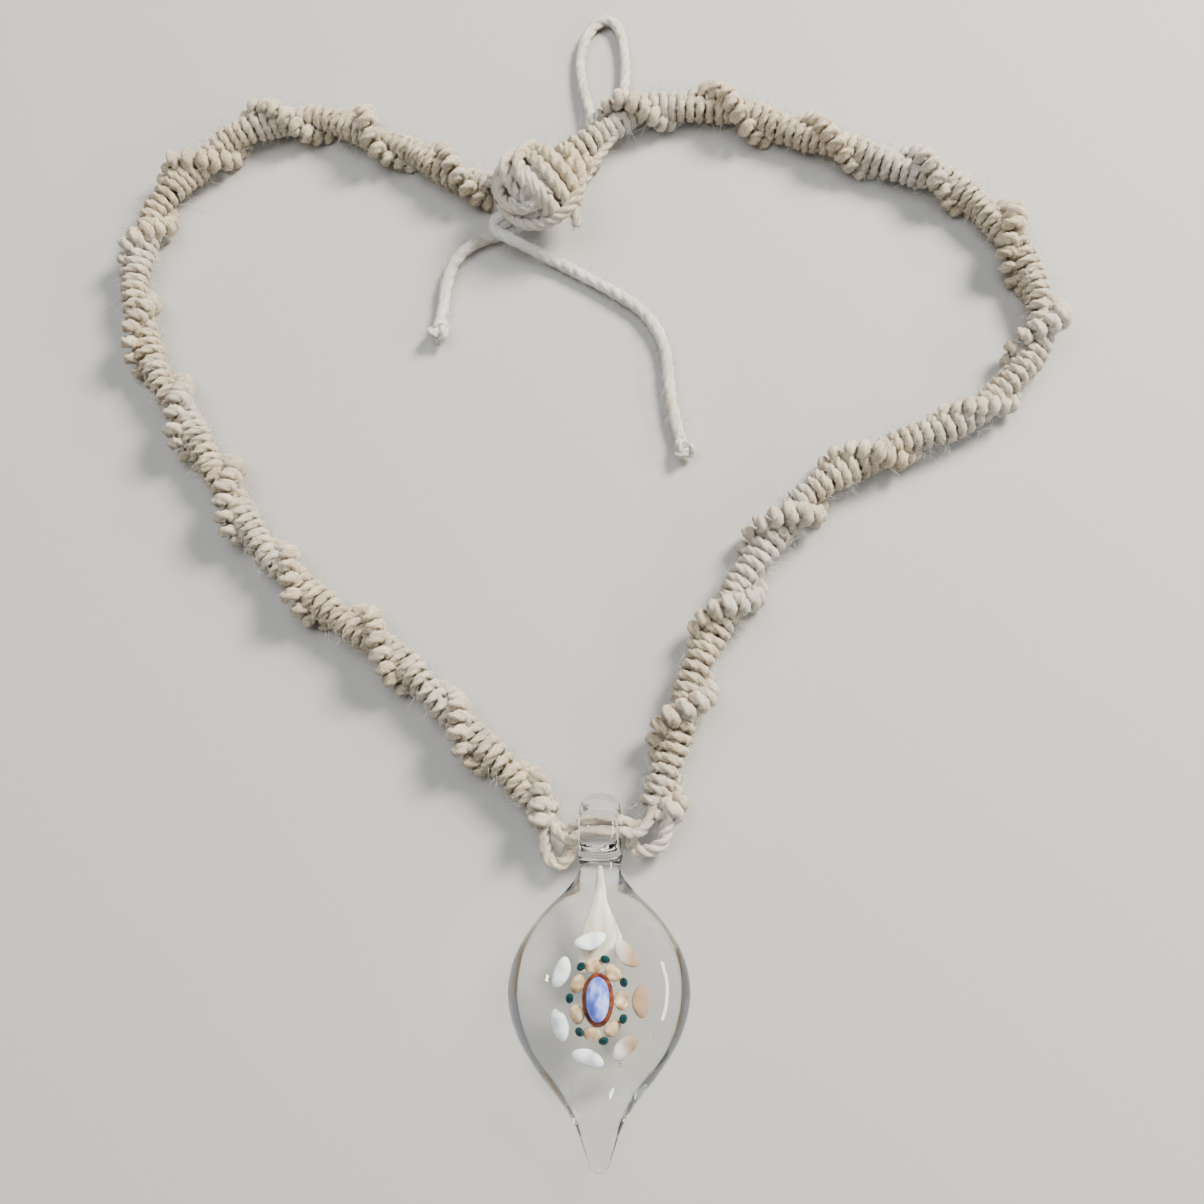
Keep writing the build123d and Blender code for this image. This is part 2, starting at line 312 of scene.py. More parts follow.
def knotting(line, start_turn, seed):
    """The working cord of one half.  Hitch after hitch gives turn, place and lift; these are smoothed by a
    B-spline, and laid round the line on an oval that is taller than it is wide."""
    random = np.random.default_rng(seed)
    along = distance_along(line)
    count = int(along[-1] / HITCH_PITCH)
    wander = np.cumsum(random.normal(0, 0.06, count))
    ridge = start_turn + RIDGE_TURN * np.arange(count) + wander - np.linspace(0, wander[-1], count)
    places = np.cumsum(1 + random.uniform(-PLACE_SPREAD, PLACE_SPREAD, count))
    places *= (count - 0.6) / places[-1]
    marks = np.arange(0, count + HITCHES_A_SLACKNESS, HITCHES_A_SLACKNESS)
    looseness = np.interp(np.arange(count), marks, random.uniform(TIGHTEST, SLACKEST, len(marks)))
    looseness *= random.uniform(0.88, 1.12, count)
    turn = 2 * math.pi * np.arange(count)[:, None] + ridge[:, None] + HITCH[None, :, 0]
    turn = turn + RIDGE_TURN * np.clip(HITCH[None, :, 1], 0, 1)
    place = places[:, None] + HITCH[None, :, 1] + random.normal(0, 0.055, (count, len(HITCH)))
    lift = np.minimum(HITCH[None, :, 2] * looseness[:, None], MOST_LIFT)
    lift = lift + random.normal(0, 0.05, (count, len(HITCH)))
    controls = np.stack([turn.ravel(), place.ravel(), lift.ravel()], axis=1)
    turn, place, lift = spline_through(controls, SAMPLES).T
    at = np.clip(place * along[-1] / count, 0, along[-1])
    middle = np.stack([np.interp(at, along, line[:, k]) for k in range(3)], axis=1)
    forward = unit(np.stack([np.interp(at, along, g) for g in np.gradient(line, axis=0).T], axis=1))
    left = unit(np.cross((0, 0, 1), forward))
    up = np.cross(forward, left)
    around = WRAP_RADIUS + WORKING_RADIUS * lift
    sway = np.interp(np.arange(len(turn)), np.linspace(0, len(turn), count), ridge)
    lean = 0.0005 * np.stack([np.cos(sway), np.sin(sway)], axis=1)
    path = (middle + (around * (1 - WRAP_LIFT / 3) * np.cos(turn) - lean[:, 0])[:, None] * left
            + (around * (1 + WRAP_LIFT) * np.sin(turn) - lean[:, 1])[:, None] * up)
    marks = np.linspace(0, len(turn), 3 * count)
    uneven = np.interp(np.arange(len(turn)), marks, random.uniform(-0.10, 0.08, 3 * count))
    thickness = WORKING_RADIUS * (1 + uneven + 0.30 * np.clip(lift / 2.4, 0, 1))
    return path, thickness


band_lines = {}
for half, route, start_turn, seed in (("left", LEFT_BAND, 0.6, 11), ("right", RIGHT_BAND, 2.4, 23)):
    band_line = smooth_line(raised(route, BAND_HEIGHT), 0.0004)
    path, thickness = knotting(band_line, start_turn, seed)
    rings, grain = rope_rings(path, thickness, 12, 3, 0.0052)
    band = add_piece(half + "_half_hitches", mesh_of(half + "_half_hitches", closed(rested(rings), grain)),
                     hemp_cord, "necklace", "hemp_cord", half + "_band")
    band_lines[half] = band_line

# ---------------------------------------------------------------- curls at the bail
# Where a half begins, its working cord comes round the front of the bail in one loose curl before the first
# hitch.  Same hemp, pulled a little tighter.
LEFT_CURL = [
    (-0.0076, 0.0232, 0.0042), (-0.0086, 0.0208, 0.0037), (-0.0083, 0.0194, 0.003), (-0.0083, 0.0172, 0.0026),
    (-0.0067, 0.0156, 0.0024), (-0.0049, 0.0164, 0.0026), (-0.0047, 0.0183, 0.0017), (-0.0036, 0.02, 0.0036),
]
RIGHT_CURL = [
    (0.0092, 0.0252, 0.0044), (0.0102, 0.0228, 0.0038), (0.0094, 0.0206, 0.003), (0.0091, 0.0188, 0.0026),
    (0.0072, 0.0176, 0.0024), (0.0052, 0.0176, 0.002), (0.0045, 0.0186, 0.0016), (0.004, 0.02, 0.0034),
]
CURL_RADIUS = 0.00108
for side, route in (("left", LEFT_CURL), ("right", RIGHT_CURL)):
    curl_line = smooth_line(route, 0.0003)
    rings, grain = rope_rings(curl_line, CURL_RADIUS, 18, 3, 0.005)
    add_piece(side + "_curl", mesh_of(side + "_curl", closed(rings, grain)), hemp_cord, "necklace",
              "hemp_cord", side + "_hitch")

# ---------------------------------------------------------------- clasp loop and spare loop
# The right half ends in a loop of plain cord that the ball is pushed through, and a second, longer loop left
# over from measuring.  Both run back into the last knots.
CLASP_LOOP = [
    (-0.0068, 0.1356, 0.0029), (-0.0085, 0.1342, 0.0031), (-0.0128, 0.1344, 0.0048),
    (-0.0162, 0.1327, 0.0066), (-0.0179, 0.1302, 0.0074), (-0.0183, 0.1277, 0.0056),
    (-0.0174, 0.1268, 0.0022), (-0.0142, 0.1264, 0.001), (-0.009, 0.1276, 0.001), (-0.0046, 0.131, 0.001),
    (-0.002, 0.135, 0.0019), (0.002, 0.141, 0.0029),
]
SPARE_LOOP = [
    (-0.0018, 0.1426, 0.0024), (-0.0029, 0.1466, 0.0016), (-0.0042, 0.1518, 0.0011),
    (-0.0048, 0.1574, 0.0011), (-0.0036, 0.1628, 0.0011), (-0.0006, 0.1662, 0.0011),
    (0.0022, 0.1646, 0.0011), (0.0033, 0.1594, 0.0011), (0.0035, 0.1538, 0.0011), (0.0032, 0.1494, 0.0015),
    (0.0034, 0.1456, 0.0024),
]


def loose_cord(name, route, radius, lay, fullness, material, slot, node):
    """A twisted cord along a route."""
    line = smooth_line(route, 0.00035)
    random = np.random.default_rng(len(line))
    along = distance_along(line)
    places = np.arange(0, along[-1] + 0.003, 0.003)
    thickness = radius * (1 + np.interp(along, places, random.uniform(-0.07, 0.05, len(places))))
    rings, grain = rope_rings(line, thickness, 21, 3, lay, fullness)
    mesh = mesh_of(name, closed(rested(rings, 0.0003), grain))
    piece = add_piece(name, mesh, material, "necklace", slot, node)
    return piece


loose_cord("clasp_loop", CLASP_LOOP, 0.00095, 0.0052, 0.62, hemp_cord, "hemp_cord", "closure_loop")
loose_cord("spare_loop_cord", SPARE_LOOP, 0.00095, 0.0068, 0.72, pale_hemp, "pale_hemp_cord", "spare_loop")

# ---------------------------------------------------------------- ball knot
# The left half ends in a big ball knot: the cord laid side by side over a core, turn after turn, with two
# smaller tucks where its ends come out.
BALL_MIDDLE = np.array((-0.0102, 0.1269, 0.0080))
BALL_AXIS = unit(np.array((0.72, 0.64, 0.12)))
BALL_TURNS = 5.2
BALL_CORD = 0.00112
TUCK_CORD = 0.00108
CUT_END_CORD = 0.0011
BALL_CORE = 0.0044


def wound_ball():
    """A cord wound round most of an egg: it goes round steadily while its place along the axis runs towards
    the far pole, and its distance from the axis follows the egg's half circle.  Each turn sits a little
    higher or lower than the last."""
    t = np.linspace(0.0, 1.0, 400)
    turn = 2 * math.pi * BALL_TURNS * t
    along = -np.cos(math.pi * (0.30 + 0.66 * t))
    side = unit(np.cross(BALL_AXIS, (0, 0, 1.0)))
    top = np.cross(side, BALL_AXIS)
    reach = np.sqrt(np.clip(1 - along**2, 0.03, 1)) * (1 + 0.07 * np.sin(turn * 0.43 + 0.4))
    half_length, half_width, half_height = 0.0054, 0.0056, 0.0043
    sway = 0.0006 * np.sin(turn * 0.61 + 1.0) + 0.0003 * np.sin(turn * 1.37)
    return (BALL_MIDDLE + (half_length * along + sway)[:, None] * BALL_AXIS
            + (half_width * reach * np.cos(turn))[:, None] * side
            + (half_height * reach * np.sin(turn))[:, None] * top)


# Tucks over the ball's left side and under its front
TUCKS = [
    [(-0.0142, 0.1342, 0.0070), (-0.0158, 0.1318, 0.0100), (-0.0162, 0.1282, 0.0110),
     (-0.0146, 0.1248, 0.0098), (-0.0116, 0.1228, 0.0074)],
    [(-0.0112, 0.1338, 0.0096), (-0.0132, 0.1312, 0.0122), (-0.0138, 0.1278, 0.0127),
     (-0.0124, 0.1246, 0.0114), (-0.0098, 0.1230, 0.0092)],
    [(-0.0172, 0.1250, 0.0056), (-0.0150, 0.1216, 0.0062), (-0.0112, 0.1202, 0.0066),
     (-0.0076, 0.1206, 0.0078), (-0.0048, 0.1224, 0.0092), (-0.0038, 0.1250, 0.0090)],
    [(-0.0164, 0.1300, 0.0068), (-0.0176, 0.1276, 0.0074), (-0.0168, 0.1244, 0.0074),
     (-0.0140, 0.1222, 0.0082), (-0.0108, 0.1222, 0.0098), (-0.0084, 0.1240, 0.0112)],
    [(-0.0060, 0.1328, 0.0096), (-0.0038, 0.1306, 0.0094), (-0.0034, 0.1276, 0.0078),
     (-0.0046, 0.1244, 0.0062)],
]
ball_parts = [closed(*rope_rings(wound_ball(), BALL_CORD, 18, 3, 0.006))]
for tuck in TUCKS:
    ball_parts.append(closed(*rope_rings(smooth_line(tuck, 0.0003), TUCK_CORD, 18, 3, 0.005)))
# The cut end of the cord, opened out into a tuft
CUT_END = [(-0.0062, 0.1240, 0.0086), (-0.0045, 0.1222, 0.0072), (-0.0044, 0.1203, 0.0058)]
cut_end = smooth_line(CUT_END, 0.0003)
cut_end_radius = CUT_END_CORD * np.linspace(1, 0.7, len(cut_end))
ball_parts.append(closed(*rope_rings(cut_end, cut_end_radius, 18, 3, 0.005)))
# The core under the turns, a flattened sphere
polar, azimuth = np.meshgrid(np.linspace(0.05, math.pi - 0.05, 24), np.arange(36) * math.pi / 18,
                             indexing="ij")
core_rings = BALL_MIDDLE + BALL_CORE * np.stack([
    np.sin(polar) * np.cos(azimuth), np.sin(polar) * np.sin(azimuth), 0.8 * np.cos(polar),
], axis=-1)
ball_parts.append(closed(core_rings[::-1], (core_rings - BALL_MIDDLE)[::-1]))
add_piece("ball_knot_wound", mesh_of("ball_knot_wound", *ball_parts), hemp_cord, "necklace", "hemp_cord",
          "ball_knot")

# ---------------------------------------------------------------- tails and their stopper knots
# The two ends left over come out of the ball, paler because they are less handled, and lie loose on the
# table.  Each is stopped with a small overhand knot.
SHORT_TAIL = [
    (-0.0094, 0.1256, 0.0064), (-0.0124, 0.1243, 0.0038), (-0.0158, 0.1225, 0.0014),
    (-0.0196, 0.1219, 0.0011), (-0.0234, 0.1204, 0.0011), (-0.026, 0.1172, 0.0011),
    (-0.0272, 0.1128, 0.0011), (-0.0273, 0.1084, 0.0011), (-0.028, 0.105, 0.0011),
]
LONG_TAIL = [
    (-0.0134, 0.1244, 0.0056), (-0.0176, 0.1239, 0.0049), (-0.0192, 0.1216, 0.0043),
    (-0.0162, 0.12, 0.0036), (-0.0124, 0.1186, 0.0021), (-0.008, 0.1165, 0.0011), (-0.0034, 0.1136, 0.0011),
    (0.003, 0.1096, 0.0011), (0.0076, 0.1056, 0.0011), (0.0102, 0.0998, 0.0011), (0.0106, 0.0928, 0.0011),
    (0.0114, 0.0868, 0.0011), (0.0125, 0.0824, 0.0011),
]


def overhand_knot(name, middle, size, radius, turned, node):
    """A small overhand knot pulled up tight: a trefoil curve, drawn in until its strands press together."""
    t = np.linspace(0, 2 * math.pi, 140)
    curve = np.stack([
        np.sin(t) + 2 * np.sin(2 * t), np.cos(t) - 2 * np.cos(2 * t), -1.6 * np.sin(3 * t),
    ], axis=1)
    c, s = math.cos(turned), math.sin(turned)
    spin = np.array([(c, -s, 0), (s, c, 0), (0, 0, 1)])
    line = np.array(middle) + (curve / 3 * np.array(size)) @ spin.T
    parts = [closed(*rope_rings(line, radius, 15, 3, 0.0045))]
    a, b = np.meshgrid(np.linspace(0.1, math.pi - 0.1, 16), np.arange(24) * math.pi / 12, indexing="ij")
    heart = np.array(middle) + 0.8 * np.min(size) * np.stack([
        np.sin(a) * np.cos(b), np.sin(a) * np.sin(b), np.cos(a),
    ], axis=-1)
    parts.append(closed(heart[::-1], (heart - middle)[::-1]))
    return add_piece(name, mesh_of(name, *parts), pale_hemp, "necklace", "pale_hemp_cord", node)


short_stopper = overhand_knot("short_stopper", (-0.0277, 0.1037, 0.0020), (0.00145, 0.0013, 0.0011), 0.00078,
                              0.5, "short_tail_knot")
long_stopper = overhand_knot("long_stopper", (0.0129, 0.0813, 0.00175), (0.0012, 0.0013, 0.00095), 0.0007,
                             1.4, "long_tail_knot")
loose_cord("short_tail_cord", SHORT_TAIL, 0.00105, 0.0074, 0.74, pale_hemp, "pale_hemp_cord", "short_tail")
loose_cord("long_tail_cord", LONG_TAIL, 0.00105, 0.0074, 0.74, pale_hemp, "pale_hemp_cord", "long_tail")

# ---------------------------------------------------------------- loose fibres
# Hemp sheds short fibres all along the knotting; they stand off it in every direction and curl over.  They
# are the cord's own, and stay caught in its twist.
FIBRE_LENGTH = (0.0008, 0.0032)
FIBRE_RADIUS = (0.000022, 0.000042)


def fibres(name, line, count, nearest, farthest, seed):
    """Short three-sided hairs, all made at once.  Each starts at the cord's outside at a random place, leaves
    it at a slant, and bends towards its own random side; it is thinner at its tip."""
    random = np.random.default_rng(seed)
    tangent, across, up = carried_frames(line)
    pick = random.integers(0, len(line), count)
    angle = random.uniform(0, 2 * math.pi, count)
    outward = np.cos(angle)[:, None] * across[pick] + np.sin(angle)[:, None] * up[pick]
    root = line[pick] + random.uniform(nearest, farthest, count)[:, None] * outward
    slant = random.normal(0, 1.1, count)[:, None] * tangent[pick] + random.normal(0, 0.35, (count, 3))
    first = unit(outward * 0.6 + slant)
    bend = unit(random.normal(0, 1, (count, 3)))
    length = random.uniform(*FIBRE_LENGTH, count)
    t = np.linspace(0, 1, 5)
    middle = (root[:, None] + (length[:, None] * t)[..., None] * first[:, None]
              + (0.45 * length[:, None] * t**2)[..., None] * bend[:, None])
    side = unit(np.cross(first, (0.3, 0.5, 0.8)))
    other = np.cross(first, side)
    corner = np.arange(3) * 2 * math.pi / 3
    ring = np.cos(corner)[None, :, None] * side[:, None] + np.sin(corner)[None, :, None] * other[:, None]
    width = random.uniform(*FIBRE_RADIUS, count)[:, None] * (1 - 0.75 * t)
    points = middle[:, :, None] + width[:, :, None, None] * ring[:, None]
    points[..., 2] = np.maximum(points[..., 2], 0.00003)
    base = np.arange(count)[:, None, None] * 15
    j, i = np.meshgrid(np.arange(3), np.arange(4))
    sides = np.stack([i * 3 + j, i * 3 + (j + 1) % 3, (i + 1) * 3 + (j + 1) % 3, (i + 1) * 3 + j], axis=-1)
    quads = (base + sides.reshape(1, -1, 4)).reshape(-1, 4)
    ends = (base + np.array([[2, 1, 0], [12, 13, 14]])[None]).reshape(-1, 3)
    mesh = bpy.data.meshes.new(name)
    mesh.from_pydata(points.reshape(-1, 3).tolist(), [], quads.tolist() + ends.tolist())
    grain = mesh.attributes.new("grain", "FLOAT_VECTOR", "POINT")
    grain.data.foreach_set("vector", points.reshape(-1, 3).astype(np.float32).ravel())
    return add_piece(name, mesh, pale_hemp, "necklace", "pale_hemp_cord")


ball_middle_line = BALL_MIDDLE + np.linspace(-0.0042, 0.0042, 12)[:, None] * BALL_AXIS
fibres("left_fibres", band_lines["left"], 3000, 0.0020, 0.0031, 5)
fibres("right_fibres", band_lines["right"], 3000, 0.0020, 0.0031, 6)
fibres("ball_fibres", ball_middle_line, 420, 0.0040, 0.0056, 7)
fibres("cut_end_fibres", cut_end[-6:], 90, 0.0001, 0.0007, 8)
free_tails = np.concatenate([smooth_line(SHORT_TAIL, 0.0004)[24:], smooth_line(LONG_TAIL, 0.0004)[16:]])
fibres("tail_fibres", free_tails, 380, 0.0009, 0.0011, 9)

# ---------------------------------------------------------------- clear glass drop and bail
# One piece of clear glass worked in a flame: a drop drawn to a point, its neck turned back on itself into
# the bail.  The back is flat where the hot glass was pressed on a plate, and three small bubbles stay in it.
# The drop, section by section along Y: place, half width, half height, height of the section's middle
DROP = np.array([
    (0.0164, 0.0030, 0.0027, 0.0055), (0.0142, 0.0031, 0.0029, 0.0055), (0.0120, 0.0047, 0.0037, 0.0057),
    (0.0087, 0.0080, 0.0055, 0.0060), (0.0043, 0.0111, 0.0070, 0.0063), (-0.0010, 0.0127, 0.0076, 0.0064),
    (-0.0082, 0.0112, 0.0069, 0.0063), (-0.0134, 0.0078, 0.0053, 0.0059), (-0.0163, 0.0054, 0.0041, 0.0054),
    (-0.0197, 0.0032, 0.0028, 0.0049), (-0.0226, 0.0021, 0.0020, 0.0045), (-0.0242, 0.0015, 0.0015, 0.0043),
])[::-1]
BAIL_MIDDLE = (0.0204, 0.0055)
BAIL_HOLE = 0.0028
BAIL_OUTSIDE = 0.0053
BAIL_DOME = 0.0037
BAIL_FLARE = (0.0037, 0.0018)
# How wide the fillets are, where hot glass ran together or was pressed
MOUTH_FILLET = 0.0006
NECK_FILLET = 0.0011
HOLE_FILLET = 0.0004
BACK_FILLET = 0.0009
VOXEL = 0.00028


def smooth_profile(y, column):
    """The drop's section value at y: a cubic between the sections, each with the slope of its neighbours."""
    places, values = DROP[:, 0], DROP[:, column]
    slopes = np.gradient(values, places)
    i = np.clip(np.searchsorted(places, y) - 1, 0, len(places) - 2)
    gap = places[i + 1] - places[i]
    t = np.clip((y - places[i]) / gap, 0, 1)
    return ((2 * t**3 - 3 * t**2 + 1) * values[i] + (t**3 - 2 * t**2 + t) * gap * slopes[i]
            + (3 * t**2 - 2 * t**3) * values[i + 1] + (t**3 - t**2) * gap * slopes[i + 1])


def blended(a, b, width):
    """The lesser of two distances, with the seam between them filled to a fillet of about the width."""
    h = np.clip(0.5 + 0.5 * (b - a) / width, 0, 1)
    return b * (1 - h) + a * h - width * h * (1 - h)


def outside_glass(p):
    """How far a point is outside the glass.  The drop is a stack of ovals with round ends.  The bail's
    section is what a circle, its round outside, and an oval, its flared hole, have in common.  The two are
    melted together, the hole is kept open, and the glass is pressed flat at the table."""
    x, y, z = p[..., 0], p[..., 1], p[..., 2]
    wide, high, middle = (smooth_profile(y, k) for k in (1, 2, 3))
    beyond = np.maximum(np.maximum(y - DROP[-1, 0], DROP[0, 0] - y), 0)
    least = np.minimum(wide, high)
    drop = least * (np.sqrt((x / wide)**2 + ((z - middle) / high)**2 + (beyond / least)**2) - 1)
    from_hole = np.hypot(y - BAIL_MIDDLE[0], z - BAIL_MIDDLE[1])
    dome = np.hypot(x, from_hole - (BAIL_OUTSIDE - BAIL_DOME)) - BAIL_DOME
    flare_wide, flare_high = BAIL_FLARE
    flare = flare_high * (np.hypot(x / flare_wide, (from_hole - BAIL_HOLE - flare_high) / flare_high) - 1)
    bail = -blended(-dome, -flare, MOUTH_FILLET)
    melted = blended(drop, bail, NECK_FILLET)
    pierced = -blended(-melted, from_hole - BAIL_HOLE, HOLE_FILLET)
    return -blended(-pierced, z, BACK_FILLET)


def settled(points, rounds=8):
    """Points moved straight down the slope of the distance until they lie on the glass's surface."""
    step = 0.00002
    for _ in range(rounds):
        here = outside_glass(points)
        slope = np.stack([(outside_glass(points + d) - outside_glass(points - d)) / (2 * step)
                          for d in np.eye(3) * step], axis=-1)
        points = points - (here / np.maximum((slope**2).sum(-1), 0.05))[..., None] * slope
    return points


# A rough drop and a rough ring, made one skin by a remesh and then settled on the surface
angle = np.linspace(0, 2 * math.pi, 48, endpoint=False)
drop_y = np.linspace(DROP[0, 0] - 0.00138, DROP[-1, 0], 120)
point = np.sqrt(1 - (np.maximum(DROP[0, 0] - drop_y, 0) / 0.0014)**2 * 0.97)[:, None]
drop_rings = np.stack([
    point * smooth_profile(drop_y, 1)[:, None] * np.cos(angle), np.broadcast_to(drop_y[:, None], (120, 48)),
    smooth_profile(drop_y, 3)[:, None] - point * smooth_profile(drop_y, 2)[:, None] * np.sin(angle),
], axis=-1)
turn = np.linspace(0, 2.05 * math.pi, 90)
bail_reach = (BAIL_HOLE + BAIL_OUTSIDE) / 2 + (BAIL_OUTSIDE - BAIL_HOLE) / 2.1 * np.cos(angle)[None, :]
bail_rings = np.stack([
    np.broadcast_to(0.0026 * np.sin(angle), (90, 48)),
    BAIL_MIDDLE[0] + bail_reach * np.cos(turn)[:, None], BAIL_MIDDLE[1] + bail_reach * np.sin(turn)[:, None],
], axis=-1)
rough = mesh_of("rough_glass", closed(drop_rings, drop_rings), closed(bail_rings, bail_rings))
rough_glass = bpy.data.objects.new("rough_glass", rough)
bpy.context.scene.collection.objects.link(rough_glass)
remesh = rough_glass.modifiers.new("remesh", "REMESH")
remesh.mode = "VOXEL"
remesh.voxel_size = VOXEL
glass_mesh = bpy.data.meshes.new_from_object(rough_glass.evaluated_get(bpy.context.evaluated_depsgraph_get()))
bpy.data.objects.remove(rough_glass)
glass_points = np.empty(3 * len(glass_mesh.vertices))
glass_mesh.vertices.foreach_get("co", glass_points)
glass_mesh.vertices.foreach_set("co", settled(glass_points.reshape(-1, 3)).ravel())
glass_mesh.materials.clear()
glass_mesh.shade_smooth()
glass_mesh.name = "clear_drop"


def clear(name, tint, ior, roughness):
    """Clear glass that lets lamps through to what is sealed in it."""
    material = bpy.data.materials.new(name)
    material.use_nodes = True
    nodes, links = material.node_tree.nodes, material.node_tree.links
    shader = nodes["Principled BSDF"]
    shader.inputs["Base Color"].default_value = tint
    shader.inputs["Transmission Weight"].default_value = 1.0
    shader.inputs["IOR"].default_value = ior
    shader.inputs["Roughness"].default_value = roughness
    place = nodes.new("ShaderNodeTexCoord")
    ripple = noise(nodes, links, place.outputs["Object"], 240, 1)
    bump = nodes.new("ShaderNodeBump")
    bump.inputs["Strength"].default_value = 0.12
    bump.inputs["Distance"].default_value = 0.0002
    links.new(ripple, bump.inputs["Height"])
    links.new(bump.outputs["Normal"], shader.inputs["Normal"])
    lamp_path = nodes.new("ShaderNodeLightPath")
    through = nodes.new("ShaderNodeBsdfTransparent")
    through.inputs["Color"].default_value = (0.93, 0.94, 0.94, 1)
    choice = nodes.new("ShaderNodeMixShader")
    links.new(lamp_path.outputs["Is Shadow Ray"], choice.inputs["Fac"])
    links.new(shader.outputs["BSDF"], choice.inputs[1])
    links.new(through.outputs["BSDF"], choice.inputs[2])
    links.new(choice.outputs["Shader"], nodes["Material Output"].inputs["Surface"])
    return material


add_piece("clear_drop", glass_mesh, clear("clear_glass", (0.985, 0.99, 0.985, 1), 1.49, 0.0), "pendant",
          "clear_glass", "glass_body")


def egg_rings(half_size, around=28, along=20):
    """Rings of an egg, from pole to pole along its own X."""
    u, v = np.meshgrid(np.linspace(0.04, math.pi - 0.04, along), np.arange(around) * 2 * math.pi / around,
                       indexing="ij")
    return np.stack([-np.cos(u), np.sin(u) * np.cos(v), np.sin(u) * np.sin(v)], axis=-1) * np.array(half_size)


BUBBLES = [
    (0.00028, (0.0030, -0.0112, 0.0096)), (0.0002, (0.0072, -0.0076, 0.0082)),
    (0.00014, (-0.0045, 0.0079, 0.0075)),
]
bubbles = [egg_rings((r, r * 1.25, r)) + np.array(at) for r, at in BUBBLES]
add_piece("air_bubbles", mesh_of("air_bubbles", *[closed(b, b) for b in bubbles]),
          clear("bubble_air", (1, 1, 1, 1), 0.671, 0.0), "pendant", "clear_glass")

# ---------------------------------------------------------------- the flower in the glass
# Little rods of coloured glass pushed into the drop's back while it was soft.  They make an eye: blue opal
# with a red-brown rim, tan petals, dark teal dots, then white petals that fold back, on a cream stem.
FLOWER = np.array((0.0, -0.0030, 0.0068))
PETALS = 7
FIRST_PETAL = math.radians(153)


def coloured_glass(name, colours, scale, stretch, roughness, glow, axis=None):
    """Opaque or milky coloured glass: colours drawn out in streaks, a wet gloss, and some light let in."""
    material = bpy.data.materials.new(name)
    material.use_nodes = True
    nodes, links = material.node_tree.nodes, material.node_tree.links
    shader = nodes["Principled BSDF"]
    shader.inputs["Roughness"].default_value = roughness
    shader.inputs["IOR"].default_value = 1.5
    shader.inputs["Subsurface Weight"].default_value = glow
    shader.inputs["Subsurface Radius"].default_value = (1.0, 0.9, 0.8)
    shader.inputs["Subsurface Scale"].default_value = 0.0006
    place = nodes.new("ShaderNodeTexCoord")
    value = noise(nodes, links, place.outputs["Object"], scale, 3, stretch)
    colour = ramp(nodes, links, value, colours)
    # Painted shade, where an axis is given: the colour is blended along one object coordinate into a darker
    # colour, so one side of the piece is darker in its own colour
    if axis:
        along, start, end, second = axis
        parts = nodes.new("ShaderNodeSeparateXYZ")
        links.new(place.outputs["Object"], parts.inputs["Vector"])
        spread = nodes.new("ShaderNodeMapRange")
        spread.inputs["From Min"].default_value = start
        spread.inputs["From Max"].default_value = end
        links.new(parts.outputs[along], spread.inputs["Value"])
        colour = mixed(nodes, links, "MIX", spread.outputs["Result"], colour, second)
    links.new(colour, shader.inputs["Base Color"])
    return material


def spread_round(half_axes, first, shape, height, tilt):
    """A shape repeated round an oval.  Each copy's own X points outwards and is tipped up by the tilt."""
    copies = []
    for i in range(PETALS):
        a = first + 2 * math.pi * i / PETALS
        out = math.atan2(half_axes[0] * math.sin(a), half_axes[1] * math.cos(a))
        c, s, ct, st = math.cos(out), math.sin(out), math.cos(tilt), math.sin(tilt)
        turned = shape @ np.array([(c * ct, s * ct, -st), (-s, c, 0), (c * st, s * st, ct)])
        place = np.array((half_axes[0] * math.cos(a), half_axes[1] * math.sin(a), height))
        copies.append(turned + FLOWER + place)
    return [closed(copy, copy) for copy in copies]


def petal_rings(half_size, pinch, groove):
    """An egg made a petal: narrower by the pinch at its inner end, with a shallow groove along the top."""
    rings = egg_rings(half_size)
    along = rings[..., :1] / half_size[0]
    rings[..., 1:2] *= 1 + pinch * along
    top = np.clip(rings[..., 2] / half_size[2], 0, 1)
    rings[..., 2] -= groove * half_size[2] * top * np.exp(-(rings[..., 1] / (0.35 * half_size[1]))**2)
    return rings


opal_glass = coloured_glass(
    "opal", [(0.3, (0.05, 0.06, 0.34, 1)), (0.48, (0.12, 0.17, 0.62, 1)), (0.64, (0.34, 0.44, 0.86, 1)),
             (0.8, (0.24, 0.18, 0.60, 1))], 900, (1, 0.55, 1), 0.06, 0.0)
opal_rings = egg_rings((0.00145, 0.00275, 0.00095)) + FLOWER
add_piece("opal_eye", mesh_of("opal_eye", closed(opal_rings, opal_rings)), opal_glass, "pendant", "opal",
          "opal_core")
rim_rings = egg_rings((0.00195, 0.0033, 0.00088)) + FLOWER - np.array((0, 0, 0.00058))
add_piece("red_brown_rim", mesh_of("red_brown_rim", closed(rim_rings, rim_rings)),
          coloured_glass("red_brown_glass", [(0.35, (0.05, 0.010, 0.005, 1)), (0.6, (0.17, 0.045, 0.018, 1))],
                         1100, (1, 1, 1), 0.1, 0.0), "pendant", "red_brown_glass", "iris_ring")
add_piece("tan_petals",
          mesh_of("tan_petals", *spread_round((0.00275, 0.00415), FIRST_PETAL,
                                              petal_rings((0.00092, 0.00118, 0.00048), 0.12, 0.25), -0.0009,
                                              math.radians(14))),
          coloured_glass("tan_glass", [(0.35, (0.26, 0.16, 0.08, 1)), (0.55, (0.50, 0.37, 0.22, 1)),
                                       (0.7, (0.70, 0.60, 0.44, 1))], 800, (1, 1, 1), 0.12, 0.1), "pendant",
          "tan_glass", "inner_petals")
